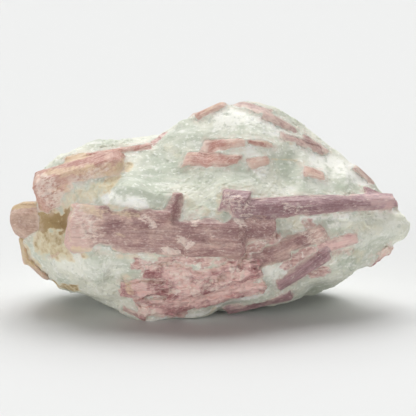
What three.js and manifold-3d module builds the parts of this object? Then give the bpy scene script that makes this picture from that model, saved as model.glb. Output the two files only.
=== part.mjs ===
// A rough specimen of rubellite (pink tourmaline) in milky quartz, in millimetres, +Z up.
// X runs along its length, -Y is the front face that shows most crystals, and it rests on a flat break at
// Z = 0. The quartz is one solid with a socket for each crystal, and each crystal is a solid in its socket.

import * as THREE from "three";
import { mergeVertices } from "three/addons/utils/BufferGeometryUtils.js";
import { ImprovedNoise } from "three/addons/math/ImprovedNoise.js";
import Module from "manifold-3d";

const wasm = await Module();
wasm.setup();

// Driving dimensions
const SOCKET_GAP = 0.3;
const COLUMN_STEP = 3.6; // along the length, between two rings of the quartz surface
const STEPS_PER_GUIDE = 4; // round a section, between two guide points
// A crystal has one more side for each mm of its half width
const CRYSTAL_SIDES = { fewest: 5, most: 9, beforeWidth: 3.7 };
const CRYSTAL_RING_STEP = 11; // along a crystal
const CORNER_GROWTH = 1.15; // of a socket's corners over its faces, so that the faces are SOCKET_GAP apart
const SEEDS_PER_CRYSTAL = 5;
const UNEVEN = { faces: 0.07, along: 0.025, ends: 0.25 }; // shares of the size, and mm at the broken ends
const WORN_SHRINK = 0.72; // of a section at an end whose edges are worn off
const SEAT_SAMPLES = 8; // places along a crystal where the quartz surface is found to seat it
const FLUSH_SINK = 0.3; // share of its depth that a crystal broken off level is set in
const BASE_BLOCK = { size: 300, depth: 20 };

// Sections of the quartz along its length. Each ring has eight guide points as [y, z]:
// top ridge, front shoulder, front belly, lower front edge, front keel, back keel, back belly, back shoulder.
const SECTIONS = [
  { x: -41, ring: [[4, 19.4], [0, 18.6], [-3.5, 16], [-2.5, 10.4], [2, 9.2], [7, 10], [9, 14.5], [8, 18]] },
  { x: -38, ring: [[2, 32], [-5, 29.6], [-8, 20], [-4.5, 8.2], [3, 6.8], [9, 8], [13, 19], [9, 28]] },
  { x: -34, ring: [[4, 35], [-8, 32], [-14, 20.5], [-6, 5.6], [6, 3.8], [12, 5], [18, 19], [13, 31]] },
  { x: -24, ring: [[5, 37.7], [-12.5, 32], [-18, 20.5], [-10, 4.2], [5, 1], [13, 1], [22, 18], [16, 33]] },
  { x: -12, ring: [[6, 40], [-15, 30.5], [-19.5, 20], [-13, 0.3], [-9, -1], [14, -0.6], [24, 17], [17, 34]] },
  { x: -3, ring: [[6, 43.8], [-15, 30.3], [-19.5, 20], [-13, 1.3], [-6, -1], [14, -1], [24, 17.5], [17, 36]] },
  { x: 3, ring: [[6, 47.4], [-14, 30.5], [-19.3, 20], [-12.5, 2.6], [-2, -1], [14, -1], [24, 18], [17, 38]] },
  { x: 12, ring: [[7, 47.4], [-12, 30.8], [-18.3, 20.4], [-12, 4.2], [4, -1], [14, -1], [23, 18], [18, 39]] },
  { x: 22, ring: [[8, 43], [-9.5, 29.8], [-15.3, 20], [-9.5, 5.8], [11, -0.6], [15, -0.6], [20, 18], [16, 35.5]] },
  { x: 32, ring: [[6, 34.8], [-6.5, 28.3], [-11, 19.5], [-6, 8], [4, 5], [9, 5], [15, 17], [12, 28.6]] },
  { x: 40, ring: [[3, 27.2], [-3.5, 24.6], [-6, 19.6], [-3.4, 13], [1, 11.4], [5, 12], [8, 17], [7, 24]] },
  { x: 45, ring: [[1, 21.6], [-1, 21], [-2.5, 19], [-1.5, 16.8], [0.5, 16.2], [2, 16.8], [3, 18.8], [2.5, 20.8]] },
];
const END_SHRINK = [0.72, 0.36]; // inner rings of the two broken ends
const END_BULGE = 0.7; // how far each of them stands out past the one before

const TIP_BULGE = 0.4;

// Relief of the quartz surface
const LEDGES = { wavelength: 11, shift: 5.2, count: 2.6, treadShare: 0.72, height: 0.75 };
const LUMPS = [
  { wavelength: 7.3, shift: 1.1, height: 0.8 },
  { wavelength: 3.9, shift: 8.4, height: 0.45 },
];

// The crystals are laid out in views of the specimen: [across, up] in mm on a plane through the pivot,
// square to the line of sight.
const PIVOT = new THREE.Vector3(0, 0, 23.4);
const EYE_DISTANCE = 700;
const FRONT = makeView(0, 15);
const BACK = makeView(180, 15);
const END = makeView(-90, 10);

// Swells and hollows of the quartz surface, where the front view shows them: centre, radius and height in mm.
const SWELLS = [
  { name: "lip over the central crystal", at: [-19, 2.4], radius: 4.6, height: 1.5 },
  { name: "lip's right end", at: [-14, 1.2], radius: 3, height: 1 },
  { name: "saddle above the lip", at: [-9, 8.5], radius: 6.5, height: -1.3 },
  { name: "mound beside the upper blades", at: [9, 13.6], radius: 4.2, height: 1.5 },
  { name: "hollow of the upper blades", at: [0.5, 12.4], radius: 5, height: -1.4 },
  { name: "dip over the long crystal", at: [17, 7.4], radius: 4.5, height: -0.9 },
  { name: "recess under the upper left crystal", at: [-34, -4.5], radius: 4, height: -3 },
  { name: "hollow beside its lower edge", at: [-32.8, 0.8], radius: 3.4, height: -2.2 },
  { name: "cream hollow in the cluster", at: [18.5, -5], radius: 3, height: -1 },
  { name: "lower right lobe", at: [31, -12], radius: 5, height: 1 },
  { name: "lower left belly", at: [-25, -14], radius: 5, height: 1.1 },
  { name: "bump on the lower left rim", at: [-23.2, -20.6], radius: 1.9, height: 1.2 },
  { name: "notch beside it", at: [-19.4, -22], radius: 2.8, height: -1.5 },
];

const noise = new ImprovedNoise();

function noiseAt(point, wavelength, shift = 0) {
  return noise.noise(point.x / wavelength + shift, point.y / wavelength - shift, point.z / wavelength + 0.37);
}

// A view from an azimuth, where 0 looks along +Y, and an elevation above the horizon, in degrees
function makeView(azimuth, elevation) {
  const a = THREE.MathUtils.degToRad(azimuth);
  const e = THREE.MathUtils.degToRad(elevation);
  const towardsEye = new THREE.Vector3(Math.sin(a) * Math.cos(e), -Math.cos(a) * Math.cos(e), Math.sin(e));
  const right = new THREE.Vector3(Math.cos(a), Math.sin(a), 0);
  const up = new THREE.Vector3().crossVectors(towardsEye, right);
  const eye = PIVOT.clone().addScaledVector(towardsEye, EYE_DISTANCE);
  return { right, up, towardsEye, eye };
}

function rayThrough(view, [across, up]) {
  const onPlane = PIVOT.clone().addScaledVector(view.right, across).addScaledVector(view.up, up);
  return new THREE.Ray(view.eye, onPlane.sub(view.eye).normalize());
}

function solidFrom(geometry) {
  const bare = geometry.clone();
  bare.deleteAttribute("normal");
  bare.deleteAttribute("uv");
  const merged = mergeVertices(bare, 1e-4);
  const vertProperties = merged.attributes.position.array;
  const triVerts = new Uint32Array(merged.index.array);
  return new wasm.Manifold(new wasm.Mesh({ numProp: 3, vertProperties, triVerts }));
}

function geometryFrom(solid) {
  const { vertProperties, triVerts } = solid.getMesh();
  return new THREE.BufferGeometry()
    .setAttribute("position", new THREE.BufferAttribute(vertProperties, 3))
    .setIndex(new THREE.BufferAttribute(triVerts, 1));
}

function unionOf(solids) {
  return solids.reduce((whole, solid) => whole.add(solid));
}

function largestBody(solid) {
  return solid.decompose().reduce((most, body) => (body.volume() > most.volume() ? body : most));
}

// A closed skin over a row of rings with the same number of points each, ended by a fan at each end.
function skinOver(rings, firstTip, lastTip) {
  const count = rings[0].length;
  const points = [...rings.flat(), firstTip, lastTip];
  const first = points.length - 2;
  const last = points.length - 1;
  const index = [];
  for (let i = 0; i < count; i++) {
    const next = (i + 1) % count;
    for (let r = 0; r + 1 < rings.length; r++) {
      const [a, b, c, d] = [r * count + i, r * count + next, (r + 1) * count + next, (r + 1) * count + i];
      index.push(...((i + r) % 2 ? [a, b, c, a, c, d] : [a, b, d, b, c, d]));
    }
    const lastRing = (rings.length - 1) * count;
    index.push(first, next, i, last, lastRing + i, lastRing + next);
  }
  const geometry = new THREE.BufferGeometry().setFromPoints(points).setIndex(index);
  return solidFrom(geometry).volume() > 0 ? geometry : geometry.setIndex(index.reverse());
}

// Quartz: the sections' rings, rounded a little between their guide points and joined along the length
function quartzRings() {
  const sampled = SECTIONS.map(({ x, ring }) => {
    const guides = ring.map(([y, z]) => new THREE.Vector3(x, y, z));
    const curve = new THREE.CatmullRomCurve3(guides, true, "catmullrom", 0.3);
    return curve.getPoints(guides.length * STEPS_PER_GUIDE).slice(0, -1);
  });
  const rings = [];
  for (let s = 0; s + 1 < sampled.length; s++) {
    const steps = Math.ceil((SECTIONS[s + 1].x - SECTIONS[s].x) / COLUMN_STEP);
    for (let k = 0; k < steps; k++) {
      rings.push(sampled[s].map((p, i) => p.clone().lerp(sampled[s + 1][i], k / steps)));
    }
  }
  rings.push(sampled.at(-1));
  return rings;
}

function centreOf(ring) {
  return ring.reduce((sum, p) => sum.add(p), new THREE.Vector3()).divideScalar(ring.length);
}

function endRings(ring, outward) {
  const centre = centreOf(ring);
  return END_SHRINK.map((share, k) =>
    ring.map((p) => {
      const q = centre.clone().lerp(p, share);
      q.x += outward * END_BULGE * (k + 1);
      return q;
    }),
  );
}

function displaced(geometry, heightAt) {
  const moved = geometry.clone();
  moved.computeVertexNormals();
  const { position, normal } = moved.attributes;
  for (let i = 0; i < position.count; i++) {
    const p = new THREE.Vector3().fromBufferAttribute(position, i);
    const n = new THREE.Vector3().fromBufferAttribute(normal, i);
    p.addScaledVector(n, heightAt(p, n));
    position.setXYZ(i, p.x, p.y, p.z);
  }
  return moved;
}

// Ledges: the noise is turned into flat treads with short steps between them, as quartz breaks
function ledges(point) {
  const raw = noiseAt(point, LEDGES.wavelength, LEDGES.shift) * LEDGES.count;
  const tread = Math.floor(raw);
  const rise = THREE.MathUtils.smoothstep(raw - tread, LEDGES.treadShare, 1);
  return (tread + rise) * LEDGES.height;
}

function relief(point) {
  const lumps = LUMPS.map(({ wavelength, shift, height }) => height * noiseAt(point, wavelength, shift));
  return lumps.reduce((sum, lump) => sum + lump, ledges(point));
}

const rings = quartzRings();
const leftEnd = endRings(rings[0], -1);
const rightEnd = endRings(rings.at(-1), 1);
const leftTip = centreOf(leftEnd[1]).add(new THREE.Vector3(-TIP_BULGE, 0, 0));
const rightTip = centreOf(rightEnd[1]).add(new THREE.Vector3(TIP_BULGE, 0, 0));
const plainQuartz = skinOver([...leftEnd.reverse(), ...rings, ...rightEnd], leftTip, rightTip);

const raycaster = new THREE.Raycaster();

function meshForRays(geometry) {
  const mesh = new THREE.Mesh(geometry, new THREE.MeshStandardMaterial({ side: THREE.DoubleSide }));
  mesh.updateMatrixWorld(true);
  return mesh;
}

// How far along the line of sight the surface is met, or null where the line passes it by
function depthOf(mesh, view, at) {
  raycaster.ray.copy(rayThrough(view, at));
  const [hit] = raycaster.intersectObject(mesh);
  return hit ? hit.distance : null;
}

const plainMesh = meshForRays(plainQuartz);
const swells = SWELLS.map(({ at, radius, height }) => {
  const ray = rayThrough(FRONT, at);
  return { centre: ray.at(depthOf(plainMesh, FRONT, at), new THREE.Vector3()), radius, height };
});
const quartzSkin = displaced(plainQuartz, (p) => {
  const heights = swells.map(
    ({ centre, radius, height }) => height * Math.exp(-p.distanceToSquared(centre) / (radius * radius)),
  );
  return heights.reduce((sum, height) => sum + height, relief(p));
});
const quartzMesh = meshForRays(quartzSkin);

// A crystal is one or more prisms grown together. Each prism has in a view its two ends, from and to, and in
// mm: half: half its width across its length, at its two ends; deep: half its depth along the line of sight;
// proud: how far it stands out of the quartz, or a pair of that for its two ends;
// depths: the y of its two ends, where it isn't seated on the surface;
// slant: how far its ends lean across it; worn: how far from its ends its edges are worn off.
// flush: true is for a crystal that broke off along with the quartz round it, so that its break follows the
// surface.
const CRYSTALS = [
  {
    name: "upper_left_crystal", view: FRONT, colour: 0xc79a8a,
    prisms: [
      {
        from: [-38.6, 3], to: [-19, 9.2],
        half: [5.2, 4.6], deep: 5.4, proud: [4.8, 0.6], slant: 0.1, worn: 1.2,
      },
      { from: [-32, 10.2], to: [-13.2, 13.8], half: [1.7, 0.9], deep: 2.6, proud: [1, 0.8] },
    ],
  },
  {
    name: "left_stub_crystal", view: FRONT, colour: 0xc9a292,
    prisms: [
      {
        from: [-44.4, -2.9], to: [-33, -3.2],
        half: [4.3, 4.3], deep: 4.6, depths: [-1.5, -3], slant: -0.15, worn: 2.6,
      },
    ],
  },
  {
    name: "left_rim_crystal", view: FRONT, colour: 0xc2a07e,
    prisms: [
      { from: [-41.8, -6.8], to: [-40.7, -12.4], half: [1.4, 1.4], deep: 3.4, depths: [0.4, -0.6] },
      { from: [-40.7, -11.5], to: [-36.2, -15.7], half: [1.3, 1.2], deep: 3.8, depths: [-0.6, -1.6], worn: 1 },
    ],
  },
  {
    name: "central_crystal", view: FRONT, colour: 0xb08078,
    prisms: [
      {
        from: [-31.6, -5.2], to: [9, -7],
        half: [5.2, 4.5], deep: 4.8, proud: [2.4, 1.6], slant: 0.08, worn: 1.3,
      },
      { from: [-30.6, -0.6], to: [-8, -2.4], half: [1.6, 1.4], deep: 2.6, proud: 1.9 },
      { from: [-8.3, -1.8], to: [-6.6, 3], half: [2.4, 1.1], deep: 2.2, proud: 1 },
      { from: [-5, -9], to: [8.4, -9.2], half: [2.2, 2], deep: 2.4, proud: 3 },
      { from: [5, -5.2], to: [14.6, -5.2], half: [3.3, 2.8], deep: 3, proud: 1.5, slant: 0.2 },
    ],
  },
  {
    name: "long_right_crystal", view: FRONT, colour: 0x9f7a7c,
    prisms: [
      { from: [5, -0.8], to: [42, 1.5], half: [2.8, 1.8], deep: 3.2, proud: [1.5, 1.4] },
      { from: [3.4, 1.5], to: [9, 1.2], half: [3, 2.8], deep: 3, proud: 1.8, slant: 0.3 },
      { from: [35.6, 3], to: [42.8, 0.8], half: [2.3, 1], deep: 2.6, proud: [0.9, 1.2] },
    ],
  },
  {
    name: "middle_right_crystal", view: FRONT, colour: 0xa87478,
    prisms: [
      { from: [13, -10], to: [26.4, -5.4], half: [2.3, 2], deep: 2.6, proud: 1.2, slant: -0.2 },
      { from: [10.4, -13.2], to: [19, -10.6], half: [1.1, 1], deep: 1.6, proud: 0.8 },
      { from: [9.6, -10.4], to: [14.6, -10.2], half: [1.9, 1.8], deep: 2, proud: 0.5 },
    ],
  },
  {
    name: "steep_right_crystal", view: FRONT, colour: 0x916a70,
    prisms: [
      { from: [16.4, -17.4], to: [27.6, -10], half: [1.6, 2.1], deep: 2.6, proud: [1.9, 1.3], slant: 0.3 },
    ],
  },
  {
    name: "pale_right_blade", view: FRONT, colour: 0xc4989a, flush: true,
    prisms: [{ from: [25.6, -9], to: [34.4, -6.8], half: [1.7, 1], deep: 2.2, proud: 0.4 }],
  },
  {
    name: "lower_right_tip_crystal", view: FRONT, colour: 0xa9888a,
    prisms: [
      {
        from: [36.4, -12], to: [42.2, -8.3],
        half: [1.8, 1.6], deep: 2.8, depths: [-0.9, -0.1], slant: 0.3, worn: 0.9,
      },
    ],
  },
  {
    name: "lower_crystal_cluster", view: FRONT, colour: 0xb98a84,
    prisms: [
      { from: [-19.2, -17.4], to: [-9.8, -17], half: [2.8, 2.8], deep: 3, proud: 1, slant: 0.2 },
      { from: [-14.2, -13.4], to: [-3.6, -14], half: [2.4, 2.1], deep: 2.6, proud: [1, 1.7] },
      { from: [-9.4, -16.8], to: [7.4, -13], half: [1.6, 1.4], deep: 2.4, proud: 2.2 },
      { from: [-8.4, -20.4], to: [12.2, -14.6], half: [1.9, 1.6], deep: 2.6, proud: 1.7 },
      { from: [-6.6, -18.2], to: [-0.8, -17.5], half: [1.7, 1.5], deep: 2.2, proud: 2.3, slant: 0.3 },
      { from: [-15.8, -21], to: [-6.2, -21.4], half: [2.1, 2], deep: 2.6, proud: 1.1 },
      { from: [-8.6, -22.4], to: [13, -17.4], half: [2.1, 1.7], deep: 2.6, proud: 1.3, slant: -0.3 },
      { from: [-15.2, -23.4], to: [-5, -23.6], half: [1.5, 1.3], deep: 2, proud: 0.7 },
      { from: [5.2, -14], to: [12.2, -12.4], half: [1.5, 1.2], deep: 2, proud: 1.4 },
    ],
  },
  {
    name: "lower_strip_crystal", view: FRONT, colour: 0x9a7478,
    prisms: [{ from: [4.6, -22.6], to: [19.4, -19.6], half: [1.7, 1.3], deep: 2.4, proud: 0.5 }],
  },
  {
    name: "bottom_left_strip", view: FRONT, colour: 0xb88e86,
    prisms: [{ from: [-18.6, -22.6], to: [-14, -25.2], half: [1.1, 1], deep: 2.4, proud: 0.5 }],
  },
  {
    name: "upper_face_crystal_1", view: FRONT, colour: 0xc49384, flush: true,
    prisms: [
      { from: [-0.4, 13.6], to: [9, 15], half: [1.9, 0.8], deep: 3.4, proud: 0.3, slant: 0.3 },
      { from: [6.6, 15.5], to: [15, 14.4], half: [0.6, 0.5], deep: 1.6, proud: 0.3 },
    ],
  },
  {
    name: "upper_face_crystal_2", view: FRONT, colour: 0xc49688, flush: true,
    prisms: [{ from: [-4.9, 10.8], to: [7.6, 11], half: [2.1, 1.1], deep: 3.4, proud: 0.4, slant: 0.4 }],
  },
  {
    name: "upper_face_crystal_3", view: FRONT, colour: 0xd0a396, flush: true,
    prisms: [{ from: [9.6, 9.8], to: [13.8, 10.8], half: [1.5, 1.1], deep: 2.2, proud: 0.3 }],
  },
  {
    name: "upper_face_crystal_4", view: FRONT, colour: 0xc79488, flush: true,
    prisms: [{ from: [22.2, 8.4], to: [26.4, 7.2], half: [1.6, 1.2], deep: 2.6, proud: 0.3 }],
  },
  {
    name: "ridge_crystal_1", view: FRONT, colour: 0xbd9088, flush: true,
    prisms: [
      { from: [6.6, 24.1], to: [14, 21.6], half: [0.8, 1.2], deep: 3, proud: 0.3 },
      { from: [12.8, 21.4], to: [20.4, 17.7], half: [1.3, 0.7], deep: 3, proud: 0.3 },
    ],
  },
  {
    name: "ridge_crystal_2", view: FRONT, colour: 0xbd8f88, flush: true,
    prisms: [{ from: [16.6, 16.7], to: [26, 13.2], half: [0.8, 1], deep: 2.6, proud: 0.3 }],
  },
  {
    name: "ridge_crystal_3", view: FRONT, colour: 0xb98a84, flush: true,
    prisms: [{ from: [21.8, 16.4], to: [27.2, 13.0], half: [0.7, 0.6], deep: 3, proud: 0.3 }],
  },
  {
    name: "ridge_crystal_4", view: FRONT, colour: 0xc79a8c, flush: true,
    prisms: [{ from: [-2.2, 21], to: [4.2, 24], half: [0.8, 0.7], deep: 3, proud: 0.5 }],
  },
  {
    name: "ridge_crystal_5", view: FRONT, colour: 0xc99c90, flush: true,
    prisms: [{ from: [34, 9.2], to: [38.2, 5.6], half: [0.8, 0.7], deep: 2, proud: 0.3 }],
  },
  {
    name: "back_long_crystal", view: BACK, colour: 0xa87c7c,
    prisms: [
      { from: [-26, -2], to: [12, 2.5], half: [2.7, 3.1], deep: 3.4, proud: 1.5, slant: 0.2 },
      { from: [-20, -6], to: [-2, -3.6], half: [1.8, 1.5], deep: 2.2, proud: 1.1, slant: -0.2 },
    ],
  },
  {
    name: "back_upper_crystal", view: BACK, colour: 0xc0938a, flush: true,
    prisms: [{ from: [-14, 13.5], to: [4, 16.4], half: [1.3, 1.7], deep: 3, proud: 0.4 }],
  },
  {
    name: "back_lower_crystal", view: BACK, colour: 0xb08488,
    prisms: [
      { from: [-4, -9], to: [22, -4.6], half: [2.2, 2.9], deep: 3, proud: 1.4, slant: 0.2 },
      { from: [2, -12.6], to: [15, -10], half: [1.4, 1.7], deep: 2.2, proud: 0.8 },
    ],
  },
  {
    name: "back_small_crystal", view: BACK, colour: 0xc9a094, flush: true,
    prisms: [{ from: [18, 5.4], to: [25, 6.8], half: [1.7, 1.2], deep: 2.6, proud: 0.4 }],
  },
  {
    name: "left_end_crystal", view: END, colour: 0xc09a86,
    prisms: [{ from: [-11, -4.8], to: [-5, -3.6], half: [2.4, 2.2], deep: 4, proud: 1.4 }],
  },
];

// Where a prism's axis lies: through the surface that it shows on, or at its stated depths
function axisOf(prism, view) {
  const { from, to, depths, deep, proud, flush } = prism;
  const rays = [from, to].map((at) => rayThrough(view, at));
  if (depths) {
    return rays.map((ray, k) => ray.at((depths[k] - ray.origin.y) / ray.direction.y, new THREE.Vector3()));
  }
  const sampled = [];
  for (let k = 0; k <= SEAT_SAMPLES; k++) {
    const share = k / SEAT_SAMPLES;
    const at = [0, 1].map((c) => THREE.MathUtils.lerp(from[c], to[c], share));
    const depth = depthOf(quartzMesh, view, at);
    if (depth !== null) sampled.push([share, depth]);
  }
  const meanShare = sampled.reduce((sum, [s]) => sum + s, 0) / sampled.length;
  const meanDepth = sampled.reduce((sum, [, d]) => sum + d, 0) / sampled.length;
  const spread = sampled.reduce((sum, [s]) => sum + (s - meanShare) ** 2, 0);
  const slope = sampled.reduce((sum, [s, d]) => sum + (s - meanShare) * (d - meanDepth), 0) / spread;
  return rays.map((ray, k) => {
    const sink = flush ? deep * FLUSH_SINK : deep - ([proud].flat()[k] ?? proud);
    return ray.at(meanDepth + slope * (k - meanShare) + sink, new THREE.Vector3());
  });
}

// Where a prism's sections are along it, with an extra one beside each end where its edges are worn
function ringPlaces(length, worn) {
  const steps = Math.max(1, Math.round(length / CRYSTAL_RING_STEP));
  const places = [];
  for (let r = 0; r <= steps; r++) {
    const share = r / steps;
    const atEnd = r === 0 ? -1 : r === steps ? 1 : 0;
    const place = { share, size: atEnd && worn ? WORN_SHRINK : 1, atEnd };
    const beside = { share: share - (atEnd * worn) / length, size: 1, atEnd: 0 };
    if (atEnd && worn) places.push(...(atEnd < 0 ? [place, beside] : [beside, place]));
    else places.push(place);
  }
  return places;
}

// A prism with flat lengthwise faces of uneven width, broken across at an angle at both ends.
// grow makes it that much larger.
function prismSolid(prism, view, seed, grow = 0) {
  const [start, end] = axisOf(prism, view);
  const along = end.clone().sub(start).normalize();
  const across = new THREE.Vector3().crossVectors(view.towardsEye, along).normalize();
  const outward = new THREE.Vector3().crossVectors(along, across).normalize();
  const length = start.distanceTo(end);
  const { fewest, most, beforeWidth } = CRYSTAL_SIDES;
  const sides = THREE.MathUtils.clamp(Math.round(beforeWidth + Math.max(...prism.half)), fewest, most);
  const slant = prism.slant ?? 0;
  const rings = ringPlaces(length, prism.worn ?? 0).map(({ share, size, atEnd }, r) => {
    const half = THREE.MathUtils.lerp(prism.half[0], prism.half[1], share);
    const ring = [];
    for (let i = 0; i < sides; i++) {
      const turn = ((i + 0.5) / sides) * 2 * Math.PI;
      const faceWidth = UNEVEN.faces * Math.sin(i * 2.4 + seed * 1.7);
      const wander = atEnd ? 0 : UNEVEN.along * Math.sin(r * 3.1 + i + seed);
      const uneven = size * (1 + faceWidth + wander);
      const sideways = Math.cos(turn) * (half * uneven + grow * CORNER_GROWTH);
      const forward = Math.sin(turn) * (prism.deep * uneven + grow * CORNER_GROWTH);
      const breakage = UNEVEN.ends * Math.sin(i * 1.9 + seed) * atEnd;
      const lean = atEnd ? slant * Math.cos(turn) * half * uneven + breakage : 0;
      ring.push(
        start.clone()
          .addScaledVector(along, share * length + lean + atEnd * grow)
          .addScaledVector(across, sideways)
          .addScaledVector(outward, forward),
      );
    }
    return ring;
  });
  return solidFrom(skinOver(rings, centreOf(rings[0]), centreOf(rings.at(-1))));
}

// The quartz surface moved out, which trims the crystals that broke along with it
function trimmingSkin(proud) {
  return solidFrom(displaced(quartzSkin, () => proud));
}

const { size: baseSize, depth: baseDepth } = BASE_BLOCK;
const FLOOR = solidFrom(
  new THREE.BoxGeometry(baseSize, baseSize, baseDepth).translate(0, 0, -baseDepth / 2),
);

const sockets = [];
const crystalSolids = CRYSTALS.map(({ view, prisms, flush = false }, number) => {
  const made = prisms.map((prism, k) => [{ ...prism, flush }, number * SEEDS_PER_CRYSTAL + k]);
  let crystal = unionOf(made.map(([prism, seed]) => prismSolid(prism, view, seed)));
  const socket = unionOf(made.map(([prism, seed]) => prismSolid(prism, view, seed, SOCKET_GAP)));
  if (flush) crystal = crystal.intersect(trimmingSkin(prisms[0].proud));
  for (const earlier of sockets) crystal = crystal.subtract(earlier);
  sockets.push(socket);
  return largestBody(crystal.subtract(FLOOR));
});

const quartzSolid = largestBody(solidFrom(quartzSkin).subtract(FLOOR).subtract(unionOf(sockets)));

const specimen = new THREE.Group();
const quartz = new THREE.Mesh(
  geometryFrom(quartzSolid),
  new THREE.MeshStandardMaterial({ color: 0xdcdcd0, roughness: 0.5, metalness: 0 }),
);
quartz.name = "quartz_matrix";
specimen.add(quartz);
CRYSTALS.forEach(({ name, colour }, number) => {
  const crystal = new THREE.Mesh(
    geometryFrom(crystalSolids[number]),
    new THREE.MeshStandardMaterial({ color: colour, roughness: 0.35, metalness: 0 }),
  );
  crystal.name = name;
  specimen.add(crystal);
});

// The origin is under the middle of the whole specimen, on the surface that it rests on
const whole = new THREE.Box3().setFromObject(specimen);
const middle = whole.getCenter(new THREE.Vector3());
specimen.position.set(-middle.x, -middle.y, 0);

export default specimen;
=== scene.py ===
import math

import bmesh
import bpy
import numpy as np
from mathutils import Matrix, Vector, noise
from mathutils.bvhtree import BVHTree


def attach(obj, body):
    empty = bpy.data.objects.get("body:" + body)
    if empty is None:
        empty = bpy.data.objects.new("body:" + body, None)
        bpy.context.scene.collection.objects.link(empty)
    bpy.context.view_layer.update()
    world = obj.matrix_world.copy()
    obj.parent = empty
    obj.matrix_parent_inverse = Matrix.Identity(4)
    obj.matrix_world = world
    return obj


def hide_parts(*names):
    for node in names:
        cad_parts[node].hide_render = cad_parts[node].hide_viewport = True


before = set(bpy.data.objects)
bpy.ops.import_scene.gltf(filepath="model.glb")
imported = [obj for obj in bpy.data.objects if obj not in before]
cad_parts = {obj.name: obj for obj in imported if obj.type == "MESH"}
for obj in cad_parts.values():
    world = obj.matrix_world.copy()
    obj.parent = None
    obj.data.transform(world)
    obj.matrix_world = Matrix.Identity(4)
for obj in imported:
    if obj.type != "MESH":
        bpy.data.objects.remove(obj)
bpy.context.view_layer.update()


# Studio
# A camera with a long lens looks at the specimen's front, a little from above. The specimen lies on a white
# sweep, under wide soft lights that hang above and behind it. Two weak ones, low in front, fill the shadows.
MM = 1000  # in a metre
PHOTO_PIXELS = 416
PIXEL = 0.00023  # metres, the width of a photograph's pixel at the specimen's middle
CAMERA_DISTANCE = 0.7  # metres
CAMERA_ELEVATION = math.radians(15)
target = Vector((-0.0006, -0.0012, 0.0234))  # metres, near the specimen's middle
to_camera = Vector((0, -math.cos(CAMERA_ELEVATION), math.sin(CAMERA_ELEVATION)))
camera_right = Vector((1, 0, 0))
camera_up = to_camera.cross(camera_right)

scene = bpy.context.scene
scene.view_settings.view_transform = "Standard"
camera_data = bpy.data.cameras.new("camera")
camera_data.lens = camera_data.sensor_width * CAMERA_DISTANCE / (PHOTO_PIXELS * PIXEL)
camera = bpy.data.objects.new("camera", camera_data)
camera.location = target + to_camera * CAMERA_DISTANCE
camera.rotation_euler = to_camera.to_track_quat("Z", "Y").to_euler()
scene.collection.objects.link(camera)
scene.camera = camera


def seen_at(surface, pixel):
    """The point of a surface, in mm, that the camera sees at a pixel, or the one nearest to its aim."""
    across = (pixel[0] - PHOTO_PIXELS / 2) * PIXEL
    up = (PHOTO_PIXELS / 2 - pixel[1]) * PIXEL
    aim = target + camera_right * across + camera_up * up
    hit = surface.ray_cast(camera.location * MM, (aim - camera.location).normalized())
    return hit[0] or surface.find_nearest(aim * MM)[0]


class Wire:
    """A value in a material's nodes. Sums of wires add their own nodes."""

    def __init__(self, socket):
        self.socket = socket

    def node(self, kind, settings=None, inputs=None, output=0):
        """Adds any node: its settings are set first, and then the values or wires of its sockets."""
        tree = self.socket.id_data
        added = tree.nodes.new(kind)
        for key, value in (settings or {}).items():
            setattr(added, key, value)
        for key, value in (inputs or {}).items():
            if isinstance(value, Wire):
                tree.links.new(value.socket, added.inputs[key])
            else:
                added.inputs[key].default_value = value
        return Wire(added.outputs[output])

    def math(self, operation, *values):
        return self.node("ShaderNodeMath", {"operation": operation}, dict(enumerate(values)))

    def __add__(self, other):
        return self.math("ADD", self, other)

    def __sub__(self, other):
        return self.math("SUBTRACT", self, other)

    def __rsub__(self, other):
        return self.math("SUBTRACT", other, self)

    def __mul__(self, other):
        return self.math("MULTIPLY", self, other)

    __radd__ = __add__
    __rmul__ = __mul__

    def between(self, low, high):
        """0 below low, 1 above high, and smooth between them."""
        inputs = {"Value": self, "From Min": low, "From Max": high}
        return self.node("ShaderNodeMapRange", {"interpolation_type": "SMOOTHSTEP"}, inputs)

    def scaled(self, *factors):
        """A place in coordinates that are stretched along each axis."""
        return self.node("ShaderNodeVectorMath", {"operation": "MULTIPLY"}, {0: self, 1: factors})

    def attribute(self, name):
        """A number that is written at the points of the mesh."""
        return self.node("ShaderNodeAttribute", {"attribute_name": name}, output="Fac")

    def noise(self, scale, detail=3, roughness=0.55):
        """Smooth noise from 0 to 1 at this place."""
        inputs = {"Vector": self, "Scale": scale, "Detail": detail, "Roughness": roughness}
        return self.node("ShaderNodeTexNoise", {}, inputs)

    def blend(self, first, second):
        """A colour, from first where this wire is 0 to second where it is 1. The mix has sockets of the same
        names for numbers and vectors, so those for colours are told by their places."""
        return self.node("ShaderNodeMix", {"data_type": "RGBA"}, {0: self, 6: first, 7: second}, output=2)


def new_material(name):
    """A material with the principled shader, and that shader's node."""
    material = bpy.data.materials.new(name)
    material.use_nodes = True
    return material, material.node_tree.nodes["Principled BSDF"]


def plug(shader, **values):
    """Sets or links the shader's sockets, named with _ for a space."""
    for key, value in values.items():
        socket = shader.inputs[key.replace("_", " ")]
        if isinstance(value, Wire):
            shader.id_data.links.new(value.socket, socket)
        else:
            socket.default_value = value


SWEEP_SIZE = 6  # metres
SWEEP_WHITE = (0.725, 0.73, 0.725, 1)
TENT_STRENGTH = 0.015
sweep_mesh = bmesh.new()
bmesh.ops.create_grid(sweep_mesh, x_segments=1, y_segments=1, size=SWEEP_SIZE / 2)
sweep = bpy.data.objects.new("sweep", bpy.data.meshes.new("sweep"))
sweep_mesh.to_mesh(sweep.data)
sweep_mesh.free()
scene.collection.objects.link(sweep)
sweep_paper, sweep_shader = new_material("sweep_paper")
plug(sweep_shader, Base_Color=SWEEP_WHITE, Roughness=0.9, Specular_IOR_Level=0.05)
sweep.data.materials.append(sweep_paper)

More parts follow.
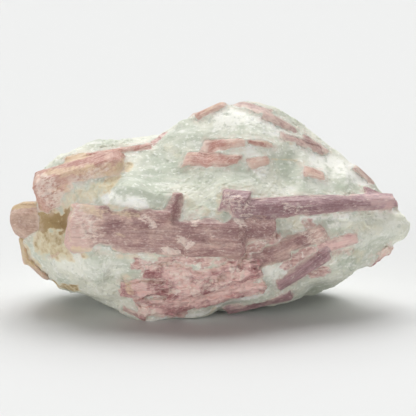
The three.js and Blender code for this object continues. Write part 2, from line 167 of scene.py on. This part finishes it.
tent = bpy.data.worlds.new("tent")
tent.use_nodes = True
tent.node_tree.nodes["Background"].inputs["Color"].default_value = (1, 1, 1, 1)
tent.node_tree.nodes["Background"].inputs["Strength"].default_value = TENT_STRENGTH
scene.world = tent

# Each light: its azimuth from the camera's side towards the right, its elevation and how wide it looks from
# the specimen, all in degrees, and how much of the floor's light it gives
LIGHTS = {
    "light_above": (180, 70, 40, 0.49),
    "light_behind": (180, 43, 36, 0.17),
    "light_behind_left": (-130, 50, 40, 0.19),
    "light_behind_right": (130, 50, 40, 0.21),
    "light_front_left": (-40, 6, 50, 0.062),
    "light_front_right": (40, 6, 50, 0.028),
}
for name, (azimuth, elevation, width, share) in LIGHTS.items():
    turn = math.radians(azimuth)
    rise = math.radians(elevation)
    light_data = bpy.data.lights.new(name, "SUN")
    light_data.angle = math.radians(width)
    light_data.energy = share * math.pi / math.sin(rise)
    light = bpy.data.objects.new(name, light_data)
    level = math.cos(rise)
    towards_light = Vector((math.sin(turn) * level, -math.cos(turn) * level, math.sin(rise)))
    light.rotation_euler = towards_light.to_track_quat("Z", "Y").to_euler()
    scene.collection.objects.link(light)


# Quartz
# The matrix is one mass of milky quartz. It broke along shallow shells and soft steps, so its surface rolls
# and has a fine sugary grain. It thins out over the crystals' edges, and iron has stained it ivory and tan.
QUARTZ_VOXEL = 0.43  # mm
QUARTZ_ROUNDING = 8  # smoothing passes
CRYSTAL_GROWTH = 0.35  # mm, which closes the gap between a crystal and its socket
UNDER_EDGE = 0.9  # mm, how much a shown crystal is grown, so that it goes in under the quartz's edge
LAP = 0.12  # mm, how much the quartz swells beside a crystal
SINK = 0.9  # mm, how far the quartz drops under a crystal's face
OWN_LEAN = 7.3  # any factor that gives grains side by side unlike leans
LEAN_SHIFTS = [Vector((31.4, 0, 0)), Vector((0, 47.7, 0)), Vector((0, 0, 59.2))]  # one for each direction
crystal_names = sorted(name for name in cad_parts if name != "quartz_matrix")


def paint(red, green, blue):
    """A colour from the values 0 to 255 that a screen shows it with."""
    return tuple((value / 255) ** 2.2 for value in (red, green, blue)) + (1,)


def solid_copy(nodes, growth=0):
    """A bmesh of some CAD nodes in mm, with its triangles joined up and its points moved out by growth."""
    copy = bmesh.new()
    for node in nodes:
        copy.from_mesh(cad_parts[node].data)
    bmesh.ops.scale(copy, vec=(MM, MM, MM), verts=copy.verts)
    bmesh.ops.remove_doubles(copy, verts=copy.verts, dist=0.001)
    copy.normal_update()
    if growth:
        normals = [vert.normal.copy() for vert in copy.verts]
        for vert, normal in zip(copy.verts, normals):
            vert.co += normal * growth
    return copy


def resurfaced(shape, name, voxel, smoothing):
    """Turns a bmesh into an object whose surface has faces of one size, then rounds its edges."""
    rough = bpy.data.objects.new(name, bpy.data.meshes.new(name))
    shape.to_mesh(rough.data)
    scene.collection.objects.link(rough)
    remesh = rough.modifiers.new("remesh", "REMESH")
    remesh.mode = "VOXEL"
    remesh.voxel_size = voxel
    smooth = rough.modifiers.new("smooth", "SMOOTH")
    smooth.factor = 0.5
    smooth.iterations = smoothing
    finished = rough.evaluated_get(bpy.context.evaluated_depsgraph_get())
    mesh = bpy.data.meshes.new_from_object(finished)
    rough.modifiers.clear()
    rough.data = mesh
    return rough


def vectors_of(mesh):
    """The mesh's points and their normals, as lists of vectors."""
    return [vert.co.copy() for vert in mesh.vertices], [vert.normal.copy() for vert in mesh.vertices]


def noise_at(points, wavelength, shift):
    """Smooth noise at the points, from about -1 to 1. Each shift gives another pattern."""
    offset = Vector((shift, -shift, 2 * shift))
    return np.array([noise.noise(point / wavelength + offset) for point in points])


def grains(points, size, shift):
    """Heights of a surface broken in grains: each one is a small plane that leans its own way. Three noises
    make the lean, because noise_vector gives other values in each run."""
    offset = Vector((shift, 2 * shift, -shift))
    heights = []
    for point in points:
        place = point / size + offset
        centre = noise.voronoi(place)[1][0]
        lean = Vector([noise.noise(centre * OWN_LEAN + lean_shift) for lean_shift in LEAN_SHIFTS])
        heights.append((place - centre).dot(lean))
    return np.array(heights) * size


def smoothstep(values, low, high):
    """0 below low, 1 above high, and smooth between them."""
    share = np.clip((values - low) / (high - low), 0, 1)
    return share * share * (3 - 2 * share)


def write_points(mesh, points):
    """Moves the mesh's points, given in mm, and brings the mesh to metres."""
    mesh.vertices.foreach_set("co", np.array(points, np.float32).ravel() / MM)
    mesh.update()


def write_attribute(mesh, name, values):
    """Gives each point of the mesh a number, which a material can read."""
    attribute = mesh.attributes.new(name, "FLOAT", "POINT")
    attribute.data.foreach_set("value", np.asarray(values, np.float32))


def strokes(points, marks, shift):
    """How much each point has of a tint that is drawn in strokes on what the camera sees. A stroke goes from
    one pixel to another, with a radius in pixels and a strength."""
    amount = np.zeros(len(points))
    places = np.array(points)
    ragged = 0.55 * noise_at(points, 2.2, shift) + 0.45 * noise_at(points, 0.9, shift)
    for first, last, radius, strength in marks:
        start, end = seen_at(specimen_surface, first), seen_at(specimen_surface, last)
        along = np.array(end - start)
        from_start = places - np.array(start)
        share = np.clip(from_start @ along / max(along @ along, 1e-6), 0, 1)
        distance = np.linalg.norm(from_start - share[:, None] * along, axis=1) / (radius * PIXEL * MM)
        amount = np.maximum(amount, strength * (1 - smoothstep(distance + ragged, 0.5, 1.3)))
    return amount


def crystal_share(points):
    """0 where quartz shows at a point, 1 where a crystal does, and the distance past their border in mm."""
    from_quartz = np.array([quartz_surface.find_nearest(point)[3] for point in points])
    from_crystal = np.array([crystals_surface.find_nearest(point)[3] for point in points])
    border = from_quartz - from_crystal + CRYSTAL_GROWTH
    ragged = 0.1 + 0.6 * noise_at(points, 3.1, 4.0) + 0.5 * noise_at(points, 1.2, 9.0)
    ragged_edge = np.maximum(ragged, -0.15)
    return smoothstep(border - ragged_edge, -0.3, 0.7), border


def crumbs(points, size, shift):
    """Heights, in mm, of small lumps of about one size."""
    return size * 0.3 * (noise_at(points, size, shift) + 0.6 * noise_at(points, size * 0.5, shift))


def quartz_relief(points):
    """Heights of the broken quartz, in mm."""
    rough = smoothstep(noise_at(points, 9, 2.0), -0.3, 0.4)
    swells = 0.35 * noise_at(points, 4.2, 1.0)
    steps = (0.1 + 0.22 * rough) * grains(points, 2.3, 3.0)
    sugar = (0.08 + 0.3 * rough) * grains(points, 1.05, 5.0)
    return swells + steps + sugar


quartz_surface = BVHTree.FromBMesh(solid_copy(["quartz_matrix"]))
crystals_surface = BVHTree.FromBMesh(solid_copy(crystal_names))
both = solid_copy(["quartz_matrix"])
grown = bpy.data.meshes.new("grown")
solid_copy(crystal_names, CRYSTAL_GROWTH).to_mesh(grown)
both.from_mesh(grown)
specimen_surface = BVHTree.FromBMesh(both)
quartz = resurfaced(both, "quartz", QUARTZ_VOXEL, QUARTZ_ROUNDING)

# Crumbs and dust of tourmaline that stick to the quartz
PINK_STROKES = [
    ((142, 146), (162, 135), 6, 0.8), ((48, 258), (58, 254), 3, 0.3), ((302, 277), (322, 272), 8, 1.1),
    ((322, 254), (352, 252), 5, 0.4), ((186, 225), (200, 208), 4, 0.35), ((166, 259), (256, 257), 7, 1.1),
    ((138, 264), (162, 272), 9, 1.0), ((136, 292), (246, 276), 14, 1.0), ((256, 262), (276, 258), 6, 0.9),
    ((248, 250), (276, 244), 10, 1.5), ((290, 263), (318, 250), 8, 1.3), ((306, 222), (326, 240), 6, 0.6),
    ((150, 304), (180, 304), 8, 0.9),
]
points, normals = vectors_of(quartz.data)
outer_skin = BVHTree.FromPolygons(points, [face.vertices[:] for face in quartz.data.polygons])
share, border = crystal_share(points)
pink_share = strokes(points, PINK_STROKES, 1.0)
swelling = LAP * smoothstep(border, -1.5, 0.2) + pink_share * crumbs(points, 1.6, 2.0)
moves = (quartz_relief(points) + swelling) * (1 - share) - SINK * smoothstep(share, 0.6, 1)
moved = [point + normal * move for point, normal, move in zip(points, normals, moves)]
for point in moved:
    point.z = max(point.z, 0)
write_points(quartz.data, moved)

# Stains of iron, ivory where they are weak and tan where they are strong. The first three, in the recess
# under the upper left crystal, are tan stain and also painted shade.
IRON_STROKES = [
    ((42, 220), (66, 222), 12, 1.5), ((38, 236), (66, 238), 13, 0.75), ((40, 246), (66, 250), 12, 0.7),
    ((106, 190), (128, 166), 7, 0.7), ((110, 207), (136, 212), 3, 0.5), ((25, 248), (40, 272), 6, 0.7),
    ((54, 281), (74, 288), 8, 1.0), ((44, 170), (80, 157), 9, 1.0), ((66, 204), (106, 188), 9, 0.45),
    ((70, 246), (84, 256), 4, 0.7), ((84, 256), (136, 256), 3, 0.4), ((126, 276), (130, 292), 5, 0.45),
    ((134, 292), (142, 300), 4, 0.5), ((180, 320), (214, 309), 4, 0.5), ((272, 159), (296, 160), 1.5, 0.5),
    ((276, 228), (298, 226), 6, 0.3), ((218, 212), (222, 196), 5, 0.4), ((150, 252), (166, 262), 4, 0.35),
    ((350, 250), (362, 256), 7, 0.3), ((352, 226), (380, 232), 6, 0.25), ((284, 140), (296, 144), 3, 0.4),
    ((186, 200), (206, 214), 6, 0.3), ((168, 146), (184, 160), 5, 0.25), ((244, 192), (246, 193), 3, 1.6),
]
# Fresh white breaks
BRIGHT_STROKES = [
    ((104, 197), (144, 205), 7, 1.0), ((318, 160), (360, 176), 15, 0.8), ((222, 118), (276, 128), 14, 0.7),
    ((250, 148), (262, 172), 8, 0.7), ((264, 272), (286, 268), 9, 0.7), ((276, 228), (298, 226), 6, 0.6),
    ((150, 321), (214, 309), 4, 1.1), ((214, 309), (280, 289), 4, 1.1), ((292, 208), (336, 212), 3, 0.9),
    ((304, 219), (350, 216), 3, 0.9), ((330, 226), (386, 216), 3, 0.8), ((362, 206), (396, 212), 4, 0.8),
    ((300, 203), (400, 204), 9, 0.5), ((298, 264), (330, 262), 8, 0.5), ((344, 246), (396, 228), 8, 0.4),
    ((60, 262), (96, 276), 8, 0.4), ((284, 190), (330, 186), 6, 0.4), ((86, 195), (92, 198), 4, 0.6),
    ((80, 262), (118, 270), 10, 0.4),
]
# Clearer quartz, which looks grey-green, and grey-green painted shade in hollows of the upper face
CLEAR_QUARTZ_AND_SHADE_STROKES = [
    ((286, 172), (300, 184), 10, 0.8), ((160, 164), (166, 180), 9, 0.6), ((166, 208), (156, 210), 6, 0.7),
    ((326, 190), (372, 188), 7, 0.8), ((258, 124), (276, 136), 6, 0.4), ((330, 268), (366, 262), 7, 0.5),
    ((88, 150), (110, 150), 8, 0.35), ((54, 250), (66, 252), 5, 0.5), ((300, 196), (344, 196), 5, 0.5),
    ((104, 262), (118, 262), 6, 0.4), ((178, 142), (190, 130), 9, 0.4), ((132, 182), (178, 172), 18, 0.85),
    ((196, 182), (236, 184), 8, 0.4),
]
near_crystal = smoothstep(border, -1.6, 0.2)
write_attribute(quartz.data, "iron", np.maximum(strokes(points, IRON_STROKES, 0.0), 0.1 * near_crystal))
write_attribute(quartz.data, "pink", pink_share)
write_attribute(quartz.data, "bright", strokes(points, BRIGHT_STROKES, 2.0))
write_attribute(quartz.data, "green", strokes(points, CLEAR_QUARTZ_AND_SHADE_STROKES, 3.0))
write_attribute(quartz.data, "near_crystal", near_crystal)

MILK_WHITE = paint(225, 225, 210)
MILK_GREY = paint(194, 199, 183)
GREY_GREEN = paint(190, 198, 180)
DULL_GREY = paint(206, 208, 195)
WISP_WHITE = paint(242, 241, 233)
FRESH_WHITE = paint(251, 250, 242)
IVORY = paint(228, 212, 178)
IRON_TAN = paint(172, 147, 106)
FLESH_DEEP = paint(184, 136, 132)
FLESH_PALE = paint(234, 206, 198)
ROSY_TINGE = paint(224, 202, 190)
GLINT_WHITE = paint(252, 252, 246)

quartz_stone, quartz_shader = new_material("milky_quartz")
start = Wire(quartz_shader.outputs[0])
place = start.node("ShaderNodeTexCoord", output="Object").scaled(MM, MM, MM)
clouds = place.noise(0.12, 4).between(0.40, 0.62)
wisps = place.scaled(0.35, 1, 1.4).noise(0.5, 5, 0.62)
mottle = place.noise(0.7, 6, 0.65)
milk = clouds.blend(MILK_WHITE, MILK_GREY)
# Grey-green where the quartz is clearer, and as painted shade in the upper face's hollows
milk = (start.attribute("green") * wisps.between(0.3, 0.6)).blend(milk, GREY_GREEN)
milk = mottle.between(0.48, 0.34).blend(milk, DULL_GREY)
milk = (wisps.between(0.48, 0.72) * 0.65).blend(milk, WISP_WHITE)
milk = (start.attribute("bright") * mottle.between(0.3, 0.5)).blend(milk, FRESH_WHITE)
iron = start.attribute("iron") * (mottle * 2.4 - 0.2)
milk = (iron.between(0.05, 0.8) * 0.85).blend(milk, IVORY)
milk = iron.between(0.5, 1.2).blend(milk, IRON_TAN)
streaky = place.scaled(0.3, 0.6, 1.2).noise(1.3, 5, 0.62)
flesh = streaky.between(0.36, 0.66).blend(FLESH_DEEP, FLESH_PALE)
pink = start.attribute("pink") * (mottle * 3 - 0.5)
milk = (pink.between(0.1, 0.75) * 0.9).blend(milk, flesh)
tinge = start.attribute("near_crystal") * mottle.between(0.4, 0.6) * 0.45
milk = tinge.blend(milk, ROSY_TINGE)
# Sugar grains: the brightest get white painted on them as painted glints, kept off the iron stains. The same
# grains are also glossier and raised in the bump.
sugar = place.node("ShaderNodeTexVoronoi", {}, {"Vector": place, "Scale": 2.2}, output="Color")
glint = sugar.node("ShaderNodeSeparateColor", {}, {"Color": sugar}, output="Red")
bare = 1 - iron.between(0.05, 0.4)
surface_colour = (glint.between(0.86, 0.95) * bare * 0.4).blend(milk, GLINT_WHITE)
height = place.noise(1.6, 4, 0.6) + glint * 0.2
bump = start.node("ShaderNodeBump", {}, {"Strength": 0.4, "Distance": 0.0002, "Height": height})
plug(
    quartz_shader, Base_Color=surface_colour, Roughness=0.75 - glint.between(0.8, 0.9) * 0.3, Normal=bump,
    Subsurface_Weight=0.5, Subsurface_Radius=(1.0, 1.0, 0.85), Subsurface_Scale=0.0016, IOR=1.54,
    Specular_IOR_Level=0.3,
)
quartz.data.materials.clear()
quartz.data.materials.append(quartz_stone)
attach(quartz, "root")
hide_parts("quartz_matrix")


# Rubellite crystals
# Each is a long prism of pink tourmaline, broken off almost level with the quartz. It is furrowed lengthwise
# and splits in blades. It has white flecks and paler ends, and a cream or tan skin where iron reached it.
CRYSTAL_VOXEL = 0.28  # mm
CRYSTAL_ROUNDING = 4  # smoothing passes
CRYSTAL_TUCK = 0.25  # mm, how far a crystal's border drops where it goes in under the quartz
SKIN_DEPTH = 0.3  # mm, down to which a crystal's points follow the specimen's skin
INNER_DEPTH = 0.9  # mm, from which on they stay where the solid has them
AXIS_POINTS = 4000  # about how many of its points are enough to find a crystal's axis

# The skin that iron left on the crystals
CREAM_STROKES = [
    ((72, 206), (70, 240), 3, 0.6), ((84, 208), (98, 214), 6, 0.6), ((100, 211), (137, 215), 3, 0.7),
    ((106, 182), (124, 168), 10, 1.1), ((86, 180), (104, 168), 7, 0.6), ((48, 173), (90, 169), 6, 0.7),
    ((40, 170), (62, 163), 10, 1.6), ((62, 163), (84, 158), 10, 1.6), ((70, 196), (110, 174), 11, 0.7),
    ((54, 194), (66, 200), 8, 0.45), ((16, 206), (36, 204), 5, 1.4), ((20, 238), (27, 264), 9, 1.7),
    ((26, 262), (52, 282), 7, 0.5), ((74, 250), (112, 252), 4, 0.9), ((118, 234), (124, 236), 2, 0.5),
    ((127, 276), (130, 292), 5, 0.7), ((254, 139), (274, 145), 3.5, 0.7),
    ((272, 163), (296, 161), 1.5, 0.5), ((178, 266), (184, 256), 2, 0.5), ((186, 154), (196, 153), 3, 0.5),
    ((262, 269), (280, 262), 4, 0.5), ((262, 280), (230, 290), 2, 0.4), ((206, 110), (222, 102), 3, 0.5),
    ((40, 206), (44, 216), 3, 0.6),
]
# Paler ends and blades
PALE_STROKES = [
    ((72, 212), (72, 246), 26, 1.1), ((96, 214), (130, 220), 6, 0.6), ((36, 178), (40, 214), 5, 0.9),
    ((372, 199), (394, 202), 8, 1.0), ((182, 301), (262, 282), 7, 1.2), ((166, 262), (182, 274), 9, 1.4),
    ((174, 276), (232, 266), 3.5, 1.1), ((144, 309), (166, 316), 7, 1.1), ((182, 284), (196, 290), 7, 1.2),
    ((190, 245), (232, 245), 3, 0.5), ((252, 163), (268, 165), 6, 0.9), ((322, 248), (356, 238), 6, 0.8),
    ((128, 274), (142, 292), 7, 0.9), ((232, 309), (244, 307), 3, 0.9), ((286, 205), (320, 202), 3, 0.4),
    ((150, 300), (174, 303), 5, 0.5), ((374, 246), (394, 250), 8, 1.0), ((312, 228), (320, 236), 5, 0.8),
    ((206, 276), (244, 274), 4, 0.8), ((310, 174), (322, 178), 5, 0.5), ((200, 285), (246, 276), 4, 0.6),
    ((140, 264), (150, 268), 5, 0.6),
]
# Deeper colour on some faces, and painted shade in hollows and crevices
DEEP_TONE_AND_SHADE_STROKES = [
    ((70, 166), (148, 150), 5.5, 1.9), ((176, 198), (178, 212), 7, 0.9), ((148, 274), (158, 285), 6, 1.4),
    ((208, 261), (229, 265), 5, 1.1), ((212, 148), (262, 139), 6, 0.9), ((196, 162), (240, 158), 6, 0.5),
    ((196, 166), (234, 167), 2, 0.5), ((250, 232), (268, 232), 7, 0.9), ((297, 241), (310, 246), 4, 1.1),
    ((254, 252), (268, 252), 6, 0.8), ((180, 300), (214, 290), 2.5, 1.1), ((150, 250), (210, 254), 3, 0.7),
    ((268, 306), (290, 295), 4, 0.7), ((250, 208), (350, 204), 6, 0.5), ((50, 209), (66, 205), 5, 0.5),
    ((110, 224), (186, 222), 5, 0.6), ((190, 230), (244, 234), 14, 0.4), ((226, 166), (238, 160), 4, 0.6),
    ((145, 296), (176, 296), 2.5, 0.8), ((290, 262), (326, 252), 6, 0.5), ((236, 308), (270, 304), 4, 0.5),
]
# Crumbly places with white flecks
WHITE_STROKES = [
    ((142, 217), (152, 224), 5, 0.9), ((184, 213), (194, 222), 6, 0.9), ((44, 186), (62, 202), 11, 1.0),
    ((74, 186), (100, 174), 8, 0.8), ((64, 206), (84, 198), 5, 0.8), ((228, 198), (250, 212), 9, 0.7),
    ((284, 208), (302, 211), 6, 0.6), ((167, 252), (176, 252), 6, 1.3), ((178, 240), (188, 244), 5, 1.0),
    ((166, 292), (178, 291), 4, 1.2), ((186, 286), (196, 292), 6, 0.8), ((240, 222), (246, 250), 6, 0.9),
    ((232, 268), (240, 276), 5, 1.0), ((296, 222), (318, 240), 8, 0.7), ((76, 212), (90, 232), 12, 0.7),
    ((196, 262), (206, 268), 5, 0.8), ((40, 174), (50, 180), 5, 0.7), ((204, 280), (212, 290), 5, 0.7),
    ((88, 176), (104, 170), 6, 0.6), ((288, 218), (300, 232), 4, 0.8), ((166, 262), (184, 276), 9, 0.6),
    ((144, 308), (164, 318), 8, 0.6), ((374, 246), (392, 252), 9, 1.1), ((150, 262), (240, 260), 10, 0.5),
    ((160, 284), (236, 280), 10, 0.5),
]


def along_axis(points):
    """The points in a crystal's own directions, in mm: along it, across it and out of it."""
    places = np.array(points)
    centred = places - places.mean(axis=0)
    sample = centred[:: max(1, len(centred) // AXIS_POINTS)]
    directions = np.linalg.svd(sample, full_matrices=False)[2]
    return centred @ directions.T


ROSE_BLOOM = paint(229, 195, 186)
DARK_FIBRE = paint(128, 88, 88)
PALE_FIBRE = paint(226, 204, 196)
SPECKLE = paint(226, 200, 188)
FLECK_WHITE = paint(238, 222, 210)
WORN_RIM = paint(226, 208, 194)
THIN_QUARTZ = paint(224, 214, 200)


def rubellite(name, deep, pale, skin, speckled, striped):
    """Pink tourmaline between a deep and a pale colour, with a skin colour where iron reached it. speckled
    is how strong its pale specks are, and striped how far its colour runs in streaks, both from 0 to 1."""
    stone, shader = new_material(name)
    start = Wire(shader.outputs[0])
    grain = start.node("ShaderNodeAttribute", {"attribute_name": "grain"}, output="Vector")
    streaks = grain.scaled(0.12, 1, 1).noise(1.1, 5, 0.65)
    fine = grain.scaled(0.05, 1, 1).noise(3.4, 3, 0.6)
    cloud = grain.noise(0.3, 5, 0.6)
    crumb = grain.scaled(0.6, 1, 1).noise(2.4, 3, 0.6)
    tone = streaks * 0.35 * striped + cloud * (0.65 - 0.35 * striped) + fine * 0.15 + crumb * 0.2
    tone = tone + start.attribute("pale") * 0.17
    # deep darkens the tone: deeper colour on some faces, and painted shade in hollows and crevices
    tone = tone - start.attribute("deep") * 0.13
    colour = tone.between(0.36, 0.68).blend(deep, pale)
    rosy = start.attribute("pale") + cloud - 1.1
    colour = (rosy.between(0, 0.8) * 0.7).blend(colour, ROSE_BLOOM)
    fibres = grain.scaled(0.05, 1, 1).noise(2.4, 5, 0.75)
    colour = (fibres.between(0.5, 0.38) * 0.3 * striped).blend(colour, DARK_FIBRE)
    colour = (fibres.between(0.52, 0.7) * 0.5).blend(colour, PALE_FIBRE)
    cream = start.attribute("cream") * ((cloud + crumb) * 2 - 1)
    colour = (cream.between(0.1, 1) * (fibres + 0.25)).blend(colour, skin)
    speckle = crumb.between(0.52, 0.68) * speckled
    colour = speckle.blend(colour, SPECKLE)
    flecks = grain.scaled(0.5, 1, 1).noise(1.5, 6, 0.75) + start.attribute("white") * 0.17
    white = flecks.between(0.55, 0.7)
    colour = (white * 0.75).blend(colour, FLECK_WHITE)
    rim = start.attribute("rim") * cloud.between(0.3, 0.65)
    colour = (rim * 0.65).blend(colour, WORN_RIM)
    colour = start.attribute("edge").blend(colour, THIN_QUARTZ)
    height = fine + flecks * 0.5 + crumb * 0.5
    bump = start.node("ShaderNodeBump", {}, {"Strength": 0.55, "Distance": 0.0002, "Height": height})
    plug(
        shader, Base_Color=colour, Roughness=0.6 - fine * 0.2 + white * 0.15, Normal=bump, IOR=1.63,
        Subsurface_Weight=0.35, Subsurface_Radius=(1.0, 0.6, 0.55), Subsurface_Scale=0.001,
        Specular_IOR_Level=0.4,
    )
    return stone


def grow_crystal(name, stone, splinters=0.25, softness=1.8, worn=0, drop=0):
    """Makes the crystal's surface: level with the specimen's skin, with furrows, split blades and chips.
    splinters is how roughly it split, and softness how far in its border pales, in mm. worn is how many
    smoothing passes a crystal takes that stands clear of the quartz, and 0 for the others. drop is how far a
    crystal that broke off level lies under the skin, in mm."""
    shape = solid_copy([name], CRYSTAL_GROWTH if worn else UNDER_EDGE)
    piece_name = name.replace("_crystal", "") + "_rubellite"
    crystal = resurfaced(shape, piece_name, CRYSTAL_VOXEL, worn or CRYSTAL_ROUNDING)
    mesh = crystal.data
    points, normals = vectors_of(mesh)
    grain = along_axis(points)
    nearest = [outer_skin.find_nearest(point) for point in points]
    depths = np.array([(found[0] - point).dot(found[1]) for point, found in zip(points, nearest)])
    outside = 1 - smoothstep(depths, SKIN_DEPTH, INNER_DEPTH)
    if not worn:
        points = [point.lerp(found[0], float(part)) for point, found, part in zip(points, nearest, outside)]
    share, border = crystal_share(points)
    white = strokes(points, WHITE_STROKES, 7.0)
    stretched = [Vector((along * 0.16, across, out)) for along, across, out in grain]
    furrowed = [Vector((along * 0.05, across, out)) for along, across, out in grain]
    relief = splinters * (0.5 * grains(stretched, 1.9, 2.0) + 0.35 * grains(stretched, 0.9, 6.0))
    furrow_depth = 0.03 + 0.16 * min(splinters, 0.25)
    relief += furrow_depth * noise_at(furrowed, 0.75, 3.0)
    relief += (0.6 * splinters + 0.6 * white) * crumbs(points, 1.5, 7.0)
    relief -= drop * smoothstep(border, 0, 0.5)
    relief = relief * share + quartz_relief(points) * (1 - share)
    moves = (relief - CRYSTAL_TUCK * (1 - smoothstep(share, 0, 0.45))) * outside
    moved = [point + normal * move for point, normal, move in zip(points, normals, moves)]
    for point in moved:
        point.z = max(point.z, 0)
    write_attribute(mesh, "edge", 1 - smoothstep(share, 0.4, 1))
    paling = 1 - smoothstep(border + 0.8 * noise_at(points, 1.8, 11.0), 0.3, softness)
    write_attribute(mesh, "rim", paling * (1 + 4 * drop))
    write_attribute(mesh, "cream", strokes(points, CREAM_STROKES, 4.0))
    write_attribute(mesh, "pale", strokes(points, PALE_STROKES, 5.0))
    write_attribute(mesh, "deep", strokes(points, DEEP_TONE_AND_SHADE_STROKES, 6.0))
    write_attribute(mesh, "white", white)
    directions = mesh.attributes.new("grain", "FLOAT_VECTOR", "POINT")
    directions.data.foreach_set("vector", grain.astype(np.float32).ravel())
    write_points(mesh, moved)
    mesh.materials.clear()
    mesh.materials.append(stone)
    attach(crystal, "root")
    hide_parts(name)


mauve = rubellite(
    "mauve_rubellite", paint(144, 108, 113), paint(194, 162, 164), paint(216, 190, 168),
    speckled=0.2, striped=1,
)
rose = rubellite(
    "rose_rubellite", paint(146, 108, 107), paint(212, 180, 168), paint(226, 206, 172),
    speckled=0.25, striped=0.8,
)
blush = rubellite(
    "blush_rubellite", paint(164, 112, 113), paint(233, 197, 190), paint(230, 208, 174),
    speckled=0.45, striped=0.6,
)
peach = rubellite(
    "peach_rubellite", paint(178, 126, 114), paint(224, 190, 172), paint(224, 202, 166),
    speckled=0.35, striped=0.45,
)
tan = rubellite(
    "tan_rubellite", paint(176, 142, 126), paint(220, 194, 174), paint(204, 180, 136),
    speckled=0.3, striped=0.35,
)

for name in ["long_right_crystal", "steep_right_crystal", "lower_strip_crystal", "back_lower_crystal"]:
    grow_crystal(name, mauve)
for name in ["central_crystal", "middle_right_crystal", "back_long_crystal"]:
    grow_crystal(name, rose)
for name in ["ridge_crystal_1", "ridge_crystal_2", "ridge_crystal_3", "ridge_crystal_5"]:
    grow_crystal(name, rose, splinters=0.05, softness=1.9, drop=0.1)
for name in ["pale_right_blade", "bottom_left_strip"]:
    grow_crystal(name, blush, splinters=0.15, softness=1.4, drop=0.1)
grow_crystal("lower_crystal_cluster", blush, splinters=1.5)
grow_crystal("lower_right_tip_crystal", blush, splinters=0.8, softness=2.8, worn=9)
grow_crystal("upper_left_crystal", peach)
for name in [
    "upper_face_crystal_1", "upper_face_crystal_2", "upper_face_crystal_3", "upper_face_crystal_4",
    "ridge_crystal_4", "back_upper_crystal", "back_small_crystal",
]:
    grow_crystal(name, peach, splinters=0.05, softness=1.7, drop=0.1)
grow_crystal("left_stub_crystal", tan, splinters=0.2, softness=1.2, worn=40)
grow_crystal("left_rim_crystal", tan, splinters=0.25, softness=1.2, worn=20)
grow_crystal("left_end_crystal", tan, splinters=0.25, softness=1.2)
